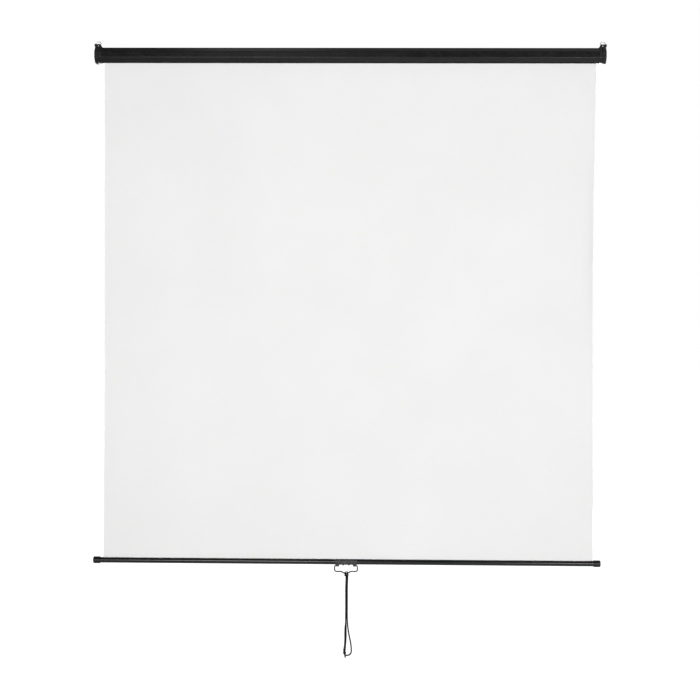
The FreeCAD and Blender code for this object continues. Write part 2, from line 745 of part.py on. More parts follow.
def cord_wrap(x, y, z, radius):
    """One turn of cord round an axis along X, its section drawn with eight sides."""
    r = CORD_DIA / 2
    ring = []
    for i in range(8):
        a = 2 * math.pi * (i + 0.5) / 8
        ring.append(Vector(x + r * math.cos(a), y, z + radius + r * math.sin(a)))
    face = Part.Face(Part.makePolygon(ring + ring[:1]))
    return face.revolve(Vector(x, y, z), Vector(1, 0, 0), 360)


def cord_hitch():
    """Lark's head on the V: two wraps round the wire, a band below them and the start of each strand."""
    y = CLOTH_Y_BAR
    r = CORD_DIA / 2
    wrap_r = HANDLE_WIRE / 2 + CORD_GAP + r + 0.2
    pieces = []
    for route, side in ((LEFT_ROUTE, -1), (RIGHT_ROUTE, 1)):
        pieces.append(cord_wrap(side * 0.75 * CORD_DIA, y, V_Z, wrap_r))
        start, below = cord_places(route[:2])
        pieces.append(Part.makeCylinder(r, 6.0, start, start - below))
    wide = 7.4
    deep = 4.6
    for low, thick, inset in ((-9.4, 1.0, 1.0), (-8.4, 2.4, 0.0), (-6.0, 1.0, 1.0)):
        corners = [(-wide, -deep), (wide, -deep), (wide, deep), (-wide, deep)]
        shrink = 1 - inset / deep
        points = [Vector(a * shrink, y + b * shrink, V_Z + low) for a, b in corners]
        pieces.append(outline(points, (deep - inset) * 0.9).extrude(Vector(0, 0, thick)))
    knot = pieces[0].fuse(pieces[1:])
    neck = HANDLE_WIRE / 2 + CORD_GAP
    flare = V_BEND - neck
    edge = 6.0
    rise = V_BEND - math.sqrt(flare**2 - edge**2)
    low_left = Vector(-edge, y, V_Z)
    high_left = Vector(-edge, y, V_Z + rise)
    high_right = Vector(edge, y, V_Z + rise)
    low_right = Vector(edge, y, V_Z)
    profile = Part.Wire([
        Part.LineSegment(low_left, high_left).toShape(),
        Part.Arc(high_left, Vector(0, y, V_Z + neck), high_right).toShape(),
        Part.LineSegment(high_right, low_right).toShape(),
        Part.LineSegment(low_right, low_left).toShape(),
    ])
    waist = Part.Face(profile).revolve(Vector(0, y, V_Z), Vector(1, 0, 0), 360)
    return knot.cut(waist).removeSplitter()


def cord_end_knot():
    """Overhand knot with its tail below, and the other tail twisted back up round the strand."""
    centre = cord_places([KNOT])[0]
    r = CORD_DIA / 2
    ball = Part.makeSphere(KNOT_R, centre)
    behind = centre + Vector(0, 1.3 * r, 0)
    tail = Part.makeCylinder(r, TAIL_DROP, behind, Vector(0.17, 0, -1))
    knot = ball.fuse([tail, cord(TAIL_ROUTE, "upper tail")])
    return knot.cut(left_strand()).cut(right_strand()).removeSplitter()


NODES = {
    "case_shell": case_shell,
    "left_end_cap": left_end_cap,
    "right_end_cap": right_end_cap,
    "end_cap_screws": end_cap_screws,
    "left_hanging_ring": lambda: hanging_ring(-1),
    "right_hanging_ring": lambda: hanging_ring(1),
    "roller_tube": roller_tube,
    "wound_cloth": wound_cloth,
    "screen_cloth": screen_cloth,
    "spring_end_plug": spring_end_plug,
    "pawl_pins": pawl_pins,
    "upper_pawl": lambda: pawl(0),
    "lower_pawl": lambda: pawl(180),
    "ratchet_collar": ratchet_collar,
    "spindle": spindle,
    "spring_anchor": spring_anchor,
    "torsion_spring": torsion_spring,
    "idle_plug": idle_plug,
    "idle_gudgeon": idle_gudgeon,
    "idle_bush": idle_bush,
    "weight_bar": weight_bar,
    "hem_rod": hem_rod,
    "left_bar_cap": lambda: bar_cap(-1),
    "right_bar_cap": lambda: bar_cap(1),
    "handle_saddle": handle_saddle,
    "saddle_screws": saddle_screws,
    "pull_handle": pull_handle,
    "cord_hitch": cord_hitch,
    "cord_left_strand": left_strand,
    "cord_right_strand": right_strand,
    "cord_end_knot": cord_end_knot,
}

# The bar hangs a little to the left of the cloth's middle, with all that it carries
ON_THE_BAR = ["weight_bar", "left_bar_cap", "right_bar_cap", "handle_saddle", "saddle_screws", "pull_handle"]
ON_THE_BAR += ["cord_hitch", "cord_left_strand", "cord_right_strand", "cord_end_knot"]

os.makedirs("parts", exist_ok=True)
for node, build in NODES.items():
    shape = build()
    if node in ON_THE_BAR:
        shape = shape.translated(Vector(BAR_SHIFT, 0, 0))
    box = shape.BoundBox
    if not shape.isValid() or shape.Volume <= 0:
        print("CHECK", node, shape.isValid(), round(shape.Volume, 1))
    print(node, len(shape.Solids), "solid(s)", round(shape.Volume / 1000, 2), "cm3")
    print("    from", round(box.ZMin, 1), "to", round(box.ZMax, 1), "in height")
    shape.exportStep(os.path.join("parts", node + ".step"))
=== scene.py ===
# %% [markdown]
# # A pull-down projection screen, dressed for its portrait
# The rigid model arrives already measured: every tube, cap and pin sits where it belongs.
# This lesson keeps those pieces, gives each one its finish, and makes the soft goods
# afresh: the white cloth, the turns left on the roller and the braided pull cord.
# The box of the rigid model is kept first, so that the dressed one can be held against it.

# %% Load the rigid model
import math

import bmesh
import bpy
from mathutils import Matrix, Vector


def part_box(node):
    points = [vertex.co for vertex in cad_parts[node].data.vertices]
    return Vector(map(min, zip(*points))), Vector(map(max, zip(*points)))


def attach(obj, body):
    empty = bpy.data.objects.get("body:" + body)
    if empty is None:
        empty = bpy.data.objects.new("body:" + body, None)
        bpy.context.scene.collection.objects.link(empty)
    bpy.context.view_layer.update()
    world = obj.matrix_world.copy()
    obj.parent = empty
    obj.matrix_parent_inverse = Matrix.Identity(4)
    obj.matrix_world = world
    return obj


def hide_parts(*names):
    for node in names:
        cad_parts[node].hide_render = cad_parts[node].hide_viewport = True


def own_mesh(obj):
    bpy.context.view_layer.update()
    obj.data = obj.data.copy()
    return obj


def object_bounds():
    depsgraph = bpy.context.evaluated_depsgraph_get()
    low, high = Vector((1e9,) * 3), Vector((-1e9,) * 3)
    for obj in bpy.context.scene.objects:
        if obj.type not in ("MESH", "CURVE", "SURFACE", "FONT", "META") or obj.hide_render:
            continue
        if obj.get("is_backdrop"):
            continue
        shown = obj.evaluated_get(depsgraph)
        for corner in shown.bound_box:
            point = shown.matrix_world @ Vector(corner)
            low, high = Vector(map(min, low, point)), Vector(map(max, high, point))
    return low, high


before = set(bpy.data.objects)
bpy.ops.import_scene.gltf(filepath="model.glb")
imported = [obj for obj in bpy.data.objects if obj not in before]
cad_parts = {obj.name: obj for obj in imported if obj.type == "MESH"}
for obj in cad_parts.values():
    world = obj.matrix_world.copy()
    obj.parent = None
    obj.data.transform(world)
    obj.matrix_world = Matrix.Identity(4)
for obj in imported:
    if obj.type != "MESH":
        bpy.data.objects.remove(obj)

cad_low, cad_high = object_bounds()
print("rigid model from", tuple(round(v, 3) for v in cad_low), "to", tuple(round(v, 3) for v in cad_high))
scene = bpy.context.scene
scene.view_settings.view_transform = "Standard"
MM = 0.001

# %% [markdown]
# ## Where the photographer stood
# The picture was taken five metres away, a little right of the middle and half-way up the
# cloth, so the underside of the case shows and the end caps are seen from inside.
# A camera can be aimed with a constraint, but three measured angles say more: a turn to the
# left, a slight nod and the tiny roll that makes the bar run downhill.

# %% Set up the viewpoint
STAND = Vector((0.1139, -5.0, -0.9206))
turn_left, nod, roll = (math.radians(a) for a in (1.245, -0.579, 0.275))
ahead = Vector((-math.sin(turn_left) * math.cos(nod), math.cos(turn_left) * math.cos(nod), math.sin(nod)))
level = Vector((math.cos(turn_left), math.sin(turn_left), 0.0))
upright = level.cross(ahead)
right = level * math.cos(roll) + upright * math.sin(roll)
up = upright * math.cos(roll) - level * math.sin(roll)
lens = bpy.data.cameras.new("viewpoint")
lens.sensor_width = 36.0
lens.lens = 81.24
lens.clip_end = 200.0
viewpoint = bpy.data.objects.new("viewpoint", lens)
viewpoint.matrix_world = Matrix.Translation(STAND) @ Matrix((right, up, -ahead)).transposed().to_4x4()
scene.collection.objects.link(viewpoint)
scene.camera = viewpoint
print("camera stands", round(STAND.length, 2), "m from the hanging line")

# %% [markdown]
# ## Short words for nodes
# The room, the finishes and the shapes below are all built from nodes. Adding a node by hand
# takes three lines or more, so a few helpers say it in one: a node with its sockets filled, a
# sum, and a value spread from one range to another.

# %% Write the node helpers
WHITE = (1.0, 1.0, 1.0, 1.0)


def place(tree, kind, setup=None, **sockets):
    """Add a node, set it up and fill or link its sockets, named by label or, as i0 and i1, by number."""
    node = tree.nodes.new(kind)
    for name, value in (setup or {}).items():
        setattr(node, name, value)
    for name, value in sockets.items():
        key = int(name[1:]) if name[0] == "i" and name[1:].isdigit() else name.replace("_", " ")
        socket = node.inputs[key]
        if isinstance(value, bpy.types.NodeSocket):
            tree.links.new(value, socket)
        else:
            socket.default_value = value
    return node


def number(tree, operation, first, second=0.0):
    """One sum with numbers or sockets."""
    return place(tree, "ShaderNodeMath", {"operation": operation}, i0=first, i1=second).outputs[0]


def spread(tree, value, start, end, low, high):
    """A value that goes from low to high while another goes from start to end."""
    return place(tree, "ShaderNodeMapRange", i0=value, i1=start, i2=end, i3=low, i4=high).outputs[0]


print("node helpers:", [helper.__name__ for helper in (place, number, spread)])

# %% [markdown]
# ## A pale room
# A white sheet on a white ground only reads if the light is gentle: the ground is pure white
# to the eye, and the cloth one soft step darker. The ground is white through the light path,
# so it takes no extra lamp to get there. Rays off a gloss see a room that is dimmer on the
# left and behind the camera, which draws the dark and light bands on the black case.

# %% Colour the room
ROOM_GLOW = 0.34
LEFT_GLEAM, RIGHT_GLEAM, NEAR_GLEAM = 0.20, 0.60, 0.14
ACROSS_FADE = (-0.17, 0.12)
NEAR_FADE = (-0.6, 0.1)
world = bpy.data.worlds.new("pale_room")
world.use_nodes = True
scene.world = world
room = world.node_tree
room.nodes.clear()


def seen_rays(tree):
    """One for rays from the eye, off a gloss or through glass, and nought for the light on things."""
    path = place(tree, "ShaderNodeLightPath").outputs
    straight = number(tree, "MAXIMUM", path["Is Camera Ray"], path["Is Glossy Ray"])
    return number(tree, "MAXIMUM", straight, path["Is Transmission Ray"])


bearing = place(room, "ShaderNodeTexCoord").outputs["Generated"]
heading = place(room, "ShaderNodeSeparateXYZ", Vector=bearing).outputs
overhead = spread(room, heading["X"], *ACROSS_FADE, LEFT_GLEAM, RIGHT_GLEAM)
dim_side = spread(room, heading["Y"], *NEAR_FADE, NEAR_GLEAM, overhead)
to_eye = place(room, "ShaderNodeLightPath").outputs["Is Camera Ray"]
seen_white = number(room, "MAXIMUM", to_eye, dim_side)
glow = place(room, "ShaderNodeBackground", Color=WHITE, Strength=ROOM_GLOW)
white = place(room, "ShaderNodeBackground", Color=WHITE, Strength=seen_white)
mixed = place(room, "ShaderNodeMixShader", Fac=seen_rays(room), i1=glow.outputs[0], i2=white.outputs[0])
place(room, "ShaderNodeOutputWorld", Surface=mixed.outputs[0])
print("room has", len(room.nodes), "nodes")

# %% [markdown]
# ## Lamps
# Two broad panels beside the camera, with a narrow wing at the left, do most of the lighting
# and lay the long gleam on the bar. Two small, faint ones are there for their gleams: the far
# wall's in the front of the case and the ceiling's in its upper slope. A large one behind lights
# the back of the cloth, and a faint one from above shades the cloth just under the case.

# %% Light the room


def panel(name, spot, aim, width, height, power):
    """A soft light panel that faces a point."""
    lamp = bpy.data.lights.new(name, "AREA")
    lamp.shape = "RECTANGLE"
    lamp.size = width
    lamp.size_y = height
    lamp.energy = power
    holder = bpy.data.objects.new(name, lamp)
    holder.location = spot
    holder.rotation_mode = "QUATERNION"
    holder.rotation_quaternion = (Vector(aim) - Vector(spot)).to_track_quat("-Z", "Y")
    scene.collection.objects.link(holder)


panel("left_panel", (-0.65, -5.0, -0.87), (-0.2, 0.0, -0.95), 0.95, 1.7, 77)
panel("left_wing", (-1.45, -5.0, -1.15), (-0.5, 0.0, -1.2), 0.6, 1.5, 27)
panel("right_panel", (1.65, -5.0, -0.97), (0.5, 0.0, -0.95), 1.2, 1.7, 99)
panel("far_wall", (-0.58, -5.0, 0.86), (-0.4, 0.0, 0.0), 0.7, 0.7, 1.4)
panel("ceiling_panel", (-0.48, 0.42, 2.2), (-0.48, 0.42, 0.0), 0.55, 0.6, 0.7)
panel("back_panel", (0.3, 4.5, -0.7), (0.0, 0.0, -0.9), 2.5, 1.7, 120)
panel("top_panel", (0.3, -2.2, 2.4), (0.1, -0.3, -0.9), 3.0, 1.4, 3)

# %% [markdown]
# ## The floor
# A large pale plane lies just under the end of the cord and takes the faint shadow of the
# sheet. Most of its white is a glow that only the eye and mirror-like surfaces see, so the
# floor reads as white and sends little light back up to the object. To a gloss the glow
# fades towards the left and the front, as the room does.

# %% Lay the floor
FLOOR_DROP = 1.5 * MM
FLOOR_REACH = 40.0
FLOOR_GREY = (0.35, 0.35, 0.35, 1.0)
EYE_GLOW = 0.90
LEFT_GLOW, RIGHT_GLOW, FRONT_GLOW = 0.45, 0.92, 0.5
LEFT_FADE = (-0.95, 0.1)
FRONT_FADE = (-1.3, -0.6)
floor_z = cad_low.z - FLOOR_DROP
sides = [(-1, -1), (1, -1), (1, 1), (-1, 1)]
corners = [(x * FLOOR_REACH, y * FLOOR_REACH, floor_z) for x, y in sides]
sheet_of_floor = bpy.data.meshes.new("studio_floor")
sheet_of_floor.from_pydata(corners, [], [(0, 1, 2, 3)])
floor = bpy.data.objects.new("studio_floor", sheet_of_floor)
scene.collection.objects.link(floor)
floor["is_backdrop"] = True
pale = bpy.data.materials.new("pale_floor")
pale.use_nodes = True
tree = pale.node_tree
tree.nodes.clear()
matt = place(tree, "ShaderNodeBsdfDiffuse", Color=FLOOR_GREY)
ray = place(tree, "ShaderNodeLightPath").outputs
on_floor = place(tree, "ShaderNodeTexCoord").outputs["Object"]
ground = place(tree, "ShaderNodeSeparateXYZ", Vector=on_floor).outputs
sideways_glow = spread(tree, ground["X"], *LEFT_FADE, LEFT_GLOW, RIGHT_GLOW)
fading = spread(tree, ground["Y"], *FRONT_FADE, FRONT_GLOW, sideways_glow)
to_gloss = number(tree, "MULTIPLY", ray["Is Glossy Ray"], fading)
lift = number(tree, "MAXIMUM", number(tree, "MULTIPLY", ray["Is Camera Ray"], EYE_GLOW), to_gloss)
shine = place(tree, "ShaderNodeEmission", Color=WHITE, Strength=lift)
both = place(tree, "ShaderNodeAddShader", i0=matt.outputs[0], i1=shine.outputs[0])
place(tree, "ShaderNodeOutputMaterial", Surface=both.outputs[0])
sheet_of_floor.materials.append(pale)
print("floor at", round(floor_z, 4), "m")

# %% [markdown]
# ## Helpers for finishes
# Every finish here is a small recipe: a base colour that wanders a little, a roughness that
# wanders with it, and a relief at the scale of the real surface. Three helpers cover that.
# They read Object coordinates, because the pieces never leave their place in the mesh, so
# a pattern stays put whatever body the piece rides on.

# %% Write the finish helpers
EVEN = (1.0, 1.0, 1.0)


def new_finish(name, **constants):
    """A material whose constant values sit on the shader's own sockets."""
    material = bpy.data.materials.new(name)
    material.use_nodes = True
    tree = material.node_tree
    shader = tree.nodes["Principled BSDF"]
    for socket, value in constants.items():
        shader.inputs[socket.replace("_", " ")].default_value = value
    return material, tree, shader


def spots(tree, scale, stretch=EVEN, detail=3.0):
    """Cloudy noise over the piece, drawn out along an axis where stretch is small."""
    source = place(tree, "ShaderNodeTexCoord")
    turned = place(tree, "ShaderNodeMapping", Vector=source.outputs["Object"], Scale=stretch)
    noise = place(tree, "ShaderNodeTexNoise", Vector=turned.outputs[0], Scale=scale, Detail=detail)
    return noise.outputs[0]


def tint(tree, shader, value, dark, light):
    """Base colour that wanders between two greys or colours."""
    ramp = place(tree, "ShaderNodeValToRGB", Fac=value)
    for stop, position, colour in zip(ramp.color_ramp.elements, (0.32, 0.68), (dark, light)):
        stop.position = position
        stop.color = (*colour, 1.0)
    tree.links.new(ramp.outputs[0], shader.inputs["Base Color"])


def dull(tree, shader, value, low, high):
    """Roughness that wanders between two values."""
    tree.links.new(spread(tree, value, 0.3, 0.7, low, high), shader.inputs["Roughness"])


def relief(tree, shader, height, strength, depth):
    """Fine bumps, depth in metres."""
    bump = place(tree, "ShaderNodeBump", Strength=strength, Distance=depth, Height=height)
    tree.links.new(bump.outputs[0], shader.inputs["Normal"])


print("steps of a finish:", [step.__name__ for step in (tint, dull, relief)])

# %% [markdown]
# ## The common recipe
# Paint, plastic and metal differ in their numbers more than in their steps, so one function
# takes the numbers: two tones, a span of roughness, the scale of the grain and its depth.
# Another puts a finish on rigid pieces by name.

# %% Write the common recipe
PATCHES = 9.0
GLOSS_PATCHES = 55.0


def grained(name, dark, light, rough, grain, depth, strength=0.4, stretch=EVEN, **constants):
    """Patches of tone, patches of gloss and a grain."""
    material, tree, shader = new_finish(name, **constants)
    tint(tree, shader, spots(tree, PATCHES, detail=5.0), dark, light)
    dull(tree, shader, spots(tree, GLOSS_PATCHES, stretch), *rough)
    relief(tree, shader, spots(tree, grain, stretch, detail=2.0), strength, depth)
    return material


def dress(material, *nodes):
    """Give rigid pieces their finish."""
    for name in nodes:
        for material_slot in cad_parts[name].material_slots:
            material_slot.material = material


print("rigid pieces to dress:", len(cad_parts))

# %% [markdown]
# ## Black paint, black plastic
# The case is folded sheet steel under satin black powder coat, which cures with a faint
# orange-peel skin. The caps at its ends are moulded plastic, flatter and with a finer,
# sharper grain. The weight bar is a lacquered tube: smoother, and drawn lines run along it,
# so its noise is stretched along the bar's length.

# %% Finish the case, caps and bar
BLACKS = ((0.003, 0.003, 0.0033), (0.005, 0.005, 0.0053))
BAR_LINES = (0.04, 1.0, 1.0)
case_coat = grained(
    "satin_powder_coat", *BLACKS, rough=(0.20, 0.27), grain=900.0, depth=0.06 * MM, Specular_IOR_Level=0.26,
)
cap_plastic = grained(
    "moulded_black", *BLACKS, rough=(0.30, 0.40), grain=2600.0, depth=0.06 * MM, Specular_IOR_Level=0.28,
)
bar_lacquer = grained(
    "lacquered_tube", *BLACKS, rough=(0.15, 0.21), grain=700.0, depth=0.02 * MM, stretch=BAR_LINES,
    Specular_IOR_Level=0.30,
)
dress(case_coat, "case_shell")
dress(cap_plastic, "left_end_cap", "right_end_cap", "left_bar_cap", "right_bar_cap")
dress(bar_lacquer, "weight_bar")
print("black finishes:", case_coat.name, cap_plastic.name, bar_lacquer.name)

# %% [markdown]
# ## Saddle, handle and rings
# The saddle that clasps the bar is lighter than the bar and mottled, as a grained grey
# moulding is. The handle is dark coated wire. The hanging rings are bright zinc, a true
# metal: there the noise drives roughness, so the gleam breaks up as plating does.

# %% Finish the saddle, handle and rings
saddle_grey, tree, shader = new_finish("grained_grey", Specular_IOR_Level=0.35)
mottle = spots(tree, 230.0, detail=8.0)
tint(tree, shader, mottle, (0.004, 0.004, 0.0045), (0.064, 0.064, 0.067))
dull(tree, shader, mottle, 0.46, 0.62)
relief(tree, shader, spots(tree, 1300.0, detail=2.0), strength=0.5, depth=0.2 * MM)
handle_coat = grained(
    "coated_wire", (0.004, 0.004, 0.0043), (0.008, 0.008, 0.0085), rough=(0.3, 0.42), grain=1500.0,
    depth=0.05 * MM, Specular_IOR_Level=0.16,
)
bright_zinc = grained(
    "bright_zinc", (0.36, 0.36, 0.36), (0.50, 0.50, 0.49), rough=(0.2, 0.36), grain=1800.0,
    depth=0.04 * MM, Metallic=1.0,
)
dress(saddle_grey, "handle_saddle")
dress(handle_coat, "pull_handle")
dress(bright_zinc, "left_hanging_ring", "right_hanging_ring")
print("handle and ring finishes:", saddle_grey.name, handle_coat.name, bright_zinc.name)

# %% [markdown]
# ## The spring roller inside
# Nobody sees these parts in the picture, but the case is open along its slot and the part
# may be shown cut open. A drawn aluminium tube, grey moulded plugs, plain steel pins and
# pawls, an oil-dark spring and a pale nylon bush are told apart by colour and by lustre.

# %% Finish the works
TUBE_LINES = (0.05, 1.0, 1.0)
drawn_tube = grained(
    "drawn_aluminium", (0.66, 0.67, 0.68), (0.76, 0.77, 0.78), rough=(0.28, 0.42), grain=800.0,
    depth=0.04 * MM, stretch=TUBE_LINES, Metallic=1.0,
)
plug_grey = grained(
    "moulded_grey", (0.20, 0.21, 0.225), (0.26, 0.27, 0.285), rough=(0.48, 0.6), grain=2200.0,
    depth=0.06 * MM,
)
turned_steel = grained(
    "turned_steel", (0.50, 0.50, 0.50), (0.62, 0.62, 0.62), rough=(0.3, 0.45), grain=1600.0,
    depth=0.03 * MM, Metallic=1.0,
)
oiled_spring = grained(
    "oiled_spring", (0.20, 0.205, 0.215), (0.33, 0.335, 0.35), rough=(0.3, 0.5), grain=1400.0,
    depth=0.03 * MM, Metallic=1.0,
)
pale_nylon = grained(
    "pale_nylon", (0.70, 0.69, 0.65), (0.80, 0.79, 0.75), rough=(0.42, 0.55), grain=1500.0, depth=0.05 * MM,
)
rod_grey = grained(
    "extruded_grey", (0.42, 0.42, 0.42), (0.52, 0.52, 0.52), rough=(0.5, 0.62), grain=900.0,
    depth=0.04 * MM, stretch=TUBE_LINES,
)
dress(drawn_tube, "roller_tube")
dress(plug_grey, "spring_end_plug", "idle_plug", "spring_anchor")
dress(turned_steel, "pawl_pins", "upper_pawl", "lower_pawl", "ratchet_collar", "spindle", "idle_gudgeon")
dress(oiled_spring, "torsion_spring")
dress(pale_nylon, "idle_bush")
dress(rod_grey, "hem_rod")
print("inner finishes:", len([drawn_tube, plug_grey, turned_steel, oiled_spring, pale_nylon, rod_grey]))

# %% [markdown]
# ## Starting and closing a node tree
# Three trees follow: a braid, a roll of cloth and a set of screws. Each has named inputs for
# its sizes, and each ends alike, in Realize Instances and Set Material, because copies that
# stay instances would be lost when the model leaves Blender.

# %% Write the tree helpers


def new_tree(name, **inputs):
    """An empty node tree with a geometry input and output, and named inputs with defaults."""
    tree = bpy.data.node_groups.new(name, "GeometryNodeTree")
    sockets = tree.interface
    sockets.new_socket("Geometry", in_out="INPUT", socket_type="NodeSocketGeometry")
    for label, (kind, value) in inputs.items():
        socket = sockets.new_socket(label.replace("_", " "), in_out="INPUT", socket_type="NodeSocket" + kind)
        if value is not None:
            socket.default_value = value
    sockets.new_socket("Geometry", in_out="OUTPUT", socket_type="NodeSocketGeometry")
    return tree, tree.nodes.new("NodeGroupInput").outputs


def close_tree(tree, geometry, finish):
    """Realize Instances, Set Material and the output."""
    real = place(tree, "GeometryNodeRealizeInstances", Geometry=geometry)
    painted = place(tree, "GeometryNodeSetMaterial", Geometry=real.outputs[0], Material=finish)
    place(tree, "NodeGroupOutput", Geometry=painted.outputs[0])
    print(tree.name, "has", len(tree.nodes), "nodes")


def keep_value(tree, geometry, value):
    """Capture a number on the points of a curve, to use it after the sweep."""
    capture = tree.nodes.new("GeometryNodeCaptureAttribute")
    capture.capture_items.new("FLOAT", "kept")
    tree.links.new(geometry, capture.inputs[0])
    tree.links.new(value, capture.inputs[1])
    return capture.outputs[0], capture.outputs[1]


print("tree helpers:", [helper.__name__ for helper in (new_tree, close_tree, keep_value)])

# %% [markdown]
# ## Growing a braid along a curve
# The pull cord is a black braid a little over four millimetres thick, doubled over the
# handle. A bevelled curve would give a smooth hose; a braid needs the small diamond pips its
# yarns make. A node tree can grow them: it resamples the curve, sweeps a circle along it,
# remembers for each point how far along and how far round it sits, and lifts the surface
# where two families of yarns cross. The same tree serves the strands, the hitch and the knot.

# %% Build the braid tree
CORD_R = 2.2 * MM
ROUND_STEPS = 24
FULL_TURN = 2 * math.pi
braid, given = new_tree(
    "braided_cord",
    Cord_radius=("Float", CORD_R),
    Ring_spacing=("Float", 0.4 * MM),
    Yarn_length=("Float", 4.2 * MM),
    Yarns_round=("Float", 6.0),
    Pip_height=("Float", 0.18 * MM),
    Finish=("Material", None),
)
fine = place(
    braid, "GeometryNodeResampleCurve", {"mode": "LENGTH"}, Curve=given["Geometry"],
    Length=given["Ring spacing"],
)
along = place(braid, "GeometryNodeSplineParameter").outputs["Length"]
line, run = keep_value(braid, fine.outputs[0], along)
loop = place(braid, "GeometryNodeCurvePrimitiveCircle", Resolution=ROUND_STEPS, Radius=given["Cord radius"])
step = place(braid, "GeometryNodeInputIndex").outputs[0]
share = number(braid, "MULTIPLY", step, FULL_TURN / ROUND_STEPS)
loop, angle = keep_value(braid, loop.outputs[0], share)
tube = place(braid, "GeometryNodeCurveToMesh", Curve=line, Profile_Curve=loop, Fill_Caps=True)
lay = number(braid, "MULTIPLY", number(braid, "DIVIDE", run, given["Yarn length"]), FULL_TURN)
round_phase = number(braid, "MULTIPLY", angle, given["Yarns round"])
pips = number(braid, "MULTIPLY", number(braid, "COSINE", round_phase), number(braid, "COSINE", lay))
lift = number(braid, "MULTIPLY", pips, given["Pip height"])
outward = place(braid, "GeometryNodeInputNormal").outputs[0]
offset = place(braid, "ShaderNodeVectorMath", {"operation": "SCALE"}, i0=outward, Scale=lift)
pipped = place(braid, "GeometryNodeSetPosition", Geometry=tube.outputs[0], Offset=offset.outputs[0])
soft = place(braid, "GeometryNodeSetShadeSmooth", Geometry=pipped.outputs[0])
close_tree(braid, soft.outputs[0], given["Finish"])

# %% [markdown]
# ## Black braid
# Polyester braid is dark and dry: it scatters what little light it takes and hardly gleams.
# So it is rough, its gloss is turned well down, and its noise is fine and drawn out along
# the drop.

# %% Finish the cord
YARN_LINES = (1.0, 1.0, 0.35)
cord_black = grained(
    "black_braid", (0.003, 0.003, 0.0035), (0.009, 0.009, 0.0095), rough=(0.5, 0.75), grain=2600.0,
    depth=0.1 * MM, stretch=YARN_LINES, Specular_IOR_Level=0.16,
)
print("cord finish:", cord_black.name)

# %% [markdown]
# ## From a curve to a piece
# A cord starts as a smooth spline, and a node tree gives it its body. The result is kept as
# a plain mesh, so that nothing is left to work out when the piece is posed or exported.
# The order of the spline is set after its points exist, or it would stay a straight chain.

# %% Write the curve helpers
CURVE_STEPS = 16


def smooth_line(name, points, closed=False):
    """A curve object with one smooth spline."""
    curve = bpy.data.curves.new(name, "CURVE")
    curve.dimensions = "3D"
    curve.resolution_u = CURVE_STEPS
    spline = curve.splines.new("NURBS")
    spline.points.add(len(points) - 1)
    for slot, point in zip(spline.points, points):
        slot.co = (*point, 1.0)
    spline.order_u = 3
    spline.use_cyclic_u = closed
    spline.use_endpoint_u = not closed
    holder = bpy.data.objects.new(name, curve)
    scene.collection.objects.link(holder)
    return holder


def final_mesh(holder, every_layer=False):
    """The mesh that a holder comes to, with its modifiers worked out."""
    graph = bpy.context.evaluated_depsgraph_get()
    ready = holder.evaluated_get(graph)
    return bpy.data.meshes.new_from_object(ready, preserve_all_data_layers=every_layer, depsgraph=graph)


def plain(holder, every_layer=False):
    """Put a plain mesh object of the same name in a holder's place."""
    name = holder.name
    mesh = final_mesh(holder, every_layer)
    bpy.data.objects.remove(holder)
    mesh.name = name
    piece = bpy.data.objects.new(name, mesh)
    scene.collection.objects.link(piece)
    return piece


def grow(holder, tree, **values):
    """Run a node tree on a holder and keep its result as a plain piece."""
    modifier = holder.modifiers.new(tree.name, "NODES")
    modifier.node_group = tree
    for item in tree.interface.items_tree:
        if item.in_out == "INPUT" and item.name.replace(" ", "_") in values:
            modifier[item.identifier] = values[item.name.replace(" ", "_")]
    return plain(holder)


def outwards(piece):
    """Turn every face of a closed mesh to the outside, and count the faces."""
    shape = bmesh.new()
    shape.from_mesh(piece.data)
    bmesh.ops.recalc_face_normals(shape, faces=shape.faces)
    shape.to_mesh(piece.data)
    shape.free()
    return len(piece.data.polygons)


print("curve helpers:", [helper.__name__ for helper in (smooth_line, final_mesh, plain, grow, outwards)])

# %% [markdown]
# ## The route of the cord
# Seen from the front the cord is a long loop: two strands drop from the hitch side by side,
# part near the bottom, and meet again in a knot on the left. From the knot the spare end
# climbs again, twisted round the left strand. The control points hang where the picture
# shows the cord, in millimetres from the lowest point of the handle's V: to the right, away
# from the viewer, and down.

# %% Lay the two strands and the twisted tail
wire_low, wire_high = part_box("pull_handle")
HANDLE_WIRE = wire_high.y - wire_low.y
V_FOOT = (wire_low + wire_high) / 2
V_FOOT.z = wire_low.z + HANDLE_WIRE / 2
LEFT_ROUTE = [
    (0.8, 2.7, 3.8), (1.05, -0.3, 13), (-0.3, -0.6, 40), (0.0, -0.6, 75), (0.25, -1.0, 112),
    (-0.05, -0.6, 142), (0.9, 0.0, 172), (1.2, 0.0, 200), (-0.6, 0.0, 226), (-2.4, 0.0, 249),
]
RIGHT_ROUTE = [
    (4.8, 3.3, 3.8), (5.3, 0.2, 13), (4.0, 0.6, 40), (4.3, 0.6, 75), (4.2, 1.0, 112), (4.25, 0.6, 142),
    (6.2, 0.1, 168), (10.6, 0.0, 195), (15.6, 0.0, 216), (18.0, 0.0, 236.5), (18.1, 0.0, 248.2),
    (15.55, 0.0, 253.7), (10.95, 0.0, 257.55), (5.1, 0.0, 259.1), (-0.8, 0.0, 258.05), (-3.4, 0.0, 255.2),
]
TAIL_ROUTE = [
    (-3.6, -1.0, 253.5), (-6.0, -2.4, 245), (-5.0, -3.0, 238), (-2.8, -3.9, 226), (-2.0, -3.4, 206),
    (-2.2, -3.4, 187), (-1.9, -3.7, 169), (0.4, -5.1, 153),
]


def hang(route):
    """Places below the V as points of the model."""
    return [V_FOOT + Vector((x, y, -drop)) * MM for x, y, drop in route]


